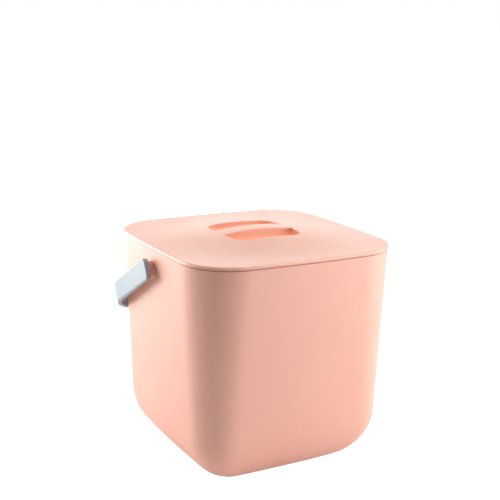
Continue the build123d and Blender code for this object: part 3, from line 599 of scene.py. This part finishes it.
class WASHER_OT_motor(bpy.types.Operator):
    """Finish the motor's can, cap, magnets and armature"""

    bl_idname = "washer.motor"
    bl_label = "Motor"

    def execute(self, context):
        zinc = metal("Zinc plate", (0.60, 0.61, 0.63), (0.48, 0.50, 0.50), 0.3, 40.0)
        finish(["motor_can"], zinc)
        nylon = moulded("Black nylon", (0.030, 0.030, 0.032), (0.045, 0.045, 0.048), 0.46)
        finish(["motor_end_cap"], nylon)
        ferrite = moulded("Ferrite", (0.050, 0.048, 0.047), (0.085, 0.080, 0.078), 0.7, 0.0001, 1600.0)
        finish(["motor_magnets"], ferrite)
        stack = metal("Stacked laminations", (0.33, 0.32, 0.31), (0.20, 0.15, 0.11), 0.42, 120.0, 0.00008)
        finish(["motor_armature"], stack)
        return {"FINISHED"}


class WASHER_OT_screws(bpy.types.Operator):
    """Finish every screw in the wash unit"""

    bl_idname = "washer.screws"
    bl_label = "Screws"

    def execute(self, context):
        steel = metal("Screw steel", (0.50, 0.50, 0.51), (0.36, 0.34, 0.32), 0.28, 200.0)
        finish(["housing_screws", "gearbox_screws", "motor_screws", "pulsator_screw"], steel)
        return {"FINISHED"}


# Stage

SIDE_BOX, TOP_BOX, BACK_BOX = (1.3, 0.7), (0.7, 0.7), (1.8, 0.9)  # widths and heights in metres
LEFT_SPOT, RIGHT_SPOT, BACK_SPOT = (130, 1.15, 0.36), (322, 0.95, 0.36), (55, 1.4, 0.62)
TOP_SPOT = (0.05, 0.1, 1.1)
GAP_EDGES = (0.6, 0.93)  # cosines between which the sky falls to the gap's strength
FLOOR_PATCHES = 0.985
FILM_WIDTH = 36.0
WHITE = (1, 1, 1, 1)


def camera_matrix(look, target):
    """Camera place and aim from the stage settings."""

    def away(azimuth, elevation):
        level = math.cos(elevation)
        return Vector((math.sin(azimuth) * level, -math.cos(azimuth) * level, math.sin(elevation)))

    spot = target + away(look.azimuth, look.elevation) * look.distance
    back = away(look.azimuth + look.pan, look.elevation + look.tilt)
    right = Vector((0, 0, 1)).cross(back).normalized()
    up = back.cross(right)
    along, across = math.cos(look.roll), math.sin(look.roll)
    side, top = right * along + up * across, up * along - right * across
    aim = Matrix((side, top, back)).transposed().to_4x4()
    return Matrix.Translation(spot) @ aim


def soft_box(name, spot, target, size, power):
    """A rectangular area light that looks at target and isn't seen itself."""
    data = bpy.data.lights.new(name, "AREA")
    data.shape = "RECTANGLE"
    data.size, data.size_y = size
    data.energy = power
    light = bpy.data.objects.new(name, data)
    light.location = spot
    light.visible_camera = False
    light.rotation_euler = (Vector(target) - Vector(spot)).to_track_quat("-Z", "Y").to_euler()
    bpy.context.scene.collection.objects.link(light)


def around(azimuth, distance, height):
    """A point at a plan angle from +X, in degrees, round the bucket."""
    angle = math.radians(azimuth)
    return Vector((distance * math.cos(angle), distance * math.sin(angle), height))


def floor_mesh(size, cuts):
    """A flat square floor, cut into even faces."""
    row = range(cuts + 1)
    points = [(size * (i / cuts - 0.5), size * (j / cuts - 0.5), 0) for j in row for i in row]
    corners = [j * (cuts + 1) + i for j in range(cuts) for i in range(cuts)]
    mesh = bpy.data.meshes.new("studio_floor")
    mesh.from_pydata(points, [], [(a, a + 1, a + cuts + 2, a + cuts + 1) for a in corners])
    return mesh


class WASHER_OT_stage(bpy.types.Operator):
    """Make the floor, the soft lights, the even sky and the camera"""

    bl_idname = "washer.stage"
    bl_label = "Stage"

    def execute(self, context):
        look = context.scene.washer_stage
        scene = context.scene
        middle = Vector((0, 0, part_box("bucket")[1].z / 2))

        floor = bpy.data.objects.new("studio_floor", floor_mesh(look.floor_size, look.floor_cuts))
        context.collection.objects.link(floor)
        material, tree, surface = start_material("Pale floor", Roughness=0.9)
        cloud = noise(tree, object_place(tree), 3.0, 3.0, 0.5)
        patches = [value * FLOOR_PATCHES for value in look.floor_colour]
        shade = mix_colour(tree, cloud, opaque(patches), opaque(look.floor_colour))
        tree.links.new(shade, surface.inputs["Base Color"])
        seen = tree.nodes.new("ShaderNodeLightPath").outputs["Is Camera Ray"]
        glow = mix_colour(tree, seen, (0, 0, 0, 1), opaque([look.floor_glow] * 3))
        tree.links.new(glow, surface.inputs["Emission Color"])
        surface.inputs["Emission Strength"].default_value = 1.0
        floor.data.materials.append(material)

        soft_box("Left soft box", around(*LEFT_SPOT), middle, SIDE_BOX, look.left_power)
        soft_box("Right soft box", around(*RIGHT_SPOT), middle, SIDE_BOX, look.right_power)
        soft_box("Top soft box", Vector(TOP_SPOT), middle, TOP_BOX, look.top_power)
        soft_box("Back soft box", around(*BACK_SPOT), middle, BACK_BOX, look.back_power)

        world = scene.world or bpy.data.worlds.new("Studio")
        scene.world = world
        world.use_nodes = True
        sky = world.node_tree
        sky.nodes.clear()
        ray = sky.nodes.new("ShaderNodeLightPath").outputs["Is Camera Ray"]
        towards = sky.nodes.new("ShaderNodeTexCoord").outputs["Generated"]
        middle_of_gap = around(math.degrees(look.gap_angle), 1, 0)
        sockets = {0: towards, 1: middle_of_gap}
        facing = add_node(sky, "ShaderNodeVectorMath", sockets, operation="DOT_PRODUCT")
        level = spread(sky, facing.outputs["Value"], look.sky, look.gap, *GAP_EDGES)
        lit = add_node(sky, "ShaderNodeBackground", {"Color": WHITE, "Strength": level})
        seen = add_node(sky, "ShaderNodeBackground", {"Color": WHITE, "Strength": 1.0})
        both = sky.nodes.new("ShaderNodeMixShader")
        sky.links.new(ray, both.inputs[0])
        sky.links.new(lit.outputs[0], both.inputs[1])
        sky.links.new(seen.outputs[0], both.inputs[2])
        out = sky.nodes.new("ShaderNodeOutputWorld")
        sky.links.new(both.outputs[0], out.inputs[0])

        data = bpy.data.cameras.new("Camera")
        data.lens = look.lens
        data.sensor_width = FILM_WIDTH
        camera = bpy.data.objects.new("Camera", data)
        camera.matrix_world = camera_matrix(look, middle)
        scene.collection.objects.link(camera)
        scene.camera = camera
        scene.view_settings.view_transform = "Standard"
        return {"FINISHED"}


OPERATORS = (
    WASHER_OT_bucket,
    WASHER_OT_lid,
    WASHER_OT_handle,
    WASHER_OT_housings,
    WASHER_OT_pulsator,
    WASHER_OT_drive,
    WASHER_OT_motor,
    WASHER_OT_screws,
    WASHER_OT_stage,
)


class WASHER_PT_panel(bpy.types.Panel):
    """Sidebar panel that lists the washer's pieces"""

    bl_idname = "WASHER_PT_panel"
    bl_label = "Mini Washer"
    bl_space_type = "VIEW_3D"
    bl_region_type = "UI"
    bl_category = "Washer"

    def draw(self, context):
        layout = self.layout
        for operator in OPERATORS:
            layout.operator(operator.bl_idname)
        for group in SETTINGS:
            settings = getattr(context.scene, group)
            box = layout.box()
            for name in settings.__annotations__:
                box.prop(settings, name)


SETTINGS = {
    "washer_bucket": BucketSettings,
    "washer_unit": UnitSettings,
    "washer_stage": StageSettings,
}


def register():
    for settings in SETTINGS.values():
        bpy.utils.register_class(settings)
    for name, settings in SETTINGS.items():
        setattr(bpy.types.Scene, name, PointerProperty(type=settings))
    for operator in OPERATORS:
        bpy.utils.register_class(operator)
    bpy.utils.register_class(WASHER_PT_panel)


def unregister():
    bpy.utils.unregister_class(WASHER_PT_panel)
    for operator in reversed(OPERATORS):
        bpy.utils.unregister_class(operator)
    for name in SETTINGS:
        delattr(bpy.types.Scene, name)
    for settings in reversed(list(SETTINGS.values())):
        bpy.utils.unregister_class(settings)


def main():
    register()
    for operator in OPERATORS:
        group, name = operator.bl_idname.split(".")
        getattr(getattr(bpy.ops, group), name)()


if __name__ == "__main__":
    main()
